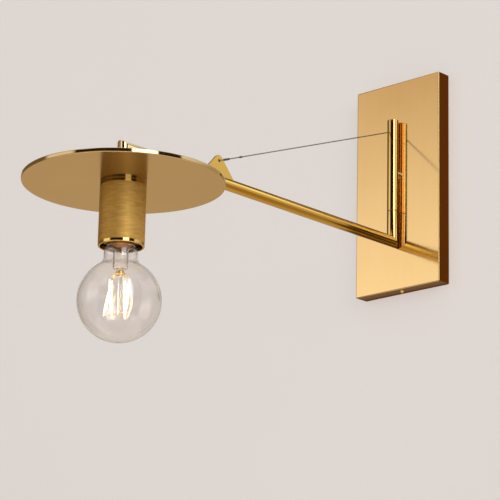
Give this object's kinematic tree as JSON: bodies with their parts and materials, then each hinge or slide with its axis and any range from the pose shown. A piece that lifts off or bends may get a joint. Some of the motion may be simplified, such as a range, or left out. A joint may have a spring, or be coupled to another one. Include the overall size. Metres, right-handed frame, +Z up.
{
  "type": "adjustable wall lamp",
  "caption": "Swing-arm wall lamp: flat wall box, short post, long arm with a stay wire, round disc shade, holder cup and clear globe bulb.",
  "frame": {"origin": "middle of the wall box on the wall plane, midway between the two wall screw slots", "axes": "+Y points into the wall and the arm points along -Y at rest; +X is to the right along the wall; +Z is up"},
  "size_m": [0.195, 0.522, 0.3752],
  "materials": {
    "plated_steel": "satin brass-coloured plating on steel",
    "gold_aluminium": "satin brass-coloured anodised aluminium",
    "polished_brass": "polished",
    "zinc_steel": "zinc plated",
    "wire_steel": "drawn wire",
    "crimp_steel": "dark crimped",
    "bearing_plastic": "matt",
    "terminal_plastic": "matt",
    "bare_brass": "bare",
    "flex_sheath": "smooth sheath",
    "core_plastic": "smooth insulation",
    "grommet_rubber": "matt",
    "holder_plastic": "matt",
    "holder_ceramic": "unglazed",
    "shell_metal": "bright",
    "clear_glass": "clear",
    "cap_brass": "bright",
    "cap_glass": "glossy",
    "solder": "dull",
    "lit_filament": "glowing",
    "support_wire": "bright"
  },
  "bodies": {
    "wall_mount": {"wall_plate_cover": "plated_steel", "wall_bracket": "zinc_steel", "cover_screws": "polished_brass", "earth_screw": "bare_brass", "cable_grommet": "grommet_rubber", "terminal_block": "terminal_plastic", "terminal_inserts": "bare_brass", "supply_flex": "flex_sheath", "supply_cores": "core_plastic", "standoff_stud": "polished_brass", "stud_washer": "zinc_steel", "stud_nut": "zinc_steel", "post_knuckle": "plated_steel", "upper_bush": "bare_brass", "lower_bush": "bare_brass", "seam_washer": "bearing_plastic"},
    "arm": {"pivot_spindle": "zinc_steel", "post_top_sleeve": "plated_steel", "set_screw": "zinc_steel", "post_cap": "plated_steel", "post_lower_sleeve": "plated_steel", "arm_tube": "plated_steel", "wire_lug": "plated_steel", "stay_wire": "wire_steel", "wire_ferrules": "crimp_steel", "wire_anchor": "wire_steel", "head_fitting": "polished_brass", "arm_flex": "flex_sheath", "holder_cores": "core_plastic", "stem_washer": "polished_brass", "threaded_nipple": "zinc_steel", "disc_shade": "gold_aluminium", "holder_cup": "gold_aluminium", "lock_nut": "zinc_steel", "holder_cap": "holder_plastic", "contact_block": "holder_ceramic", "holder_skirt": "holder_plastic", "screw_shell": "shell_metal", "centre_contact": "bare_brass", "clamp_screws": "zinc_steel"},
    "bulb": {"bulb_globe": "clear_glass", "bulb_cap": "cap_brass", "bulb_insulator": "cap_glass", "bulb_tip_contact": "solder", "bulb_stem": "clear_glass", "bulb_filaments": "lit_filament", "filament_supports": "support_wire"}
  },
  "joints": [
    {"name": "arm_swivel", "type": "hinge", "parent": "wall_mount", "child": "arm", "pos_m": [0, -0.0245, 0], "axis": [0, 0, 1], "range_deg": [-75, 75]},
    {"name": "bulb_turn", "type": "hinge", "parent": "arm", "child": "bulb", "pos_m": [0, -0.4245, -0.2155], "axis": [0, 0, 1], "continuous": true}
  ]
}
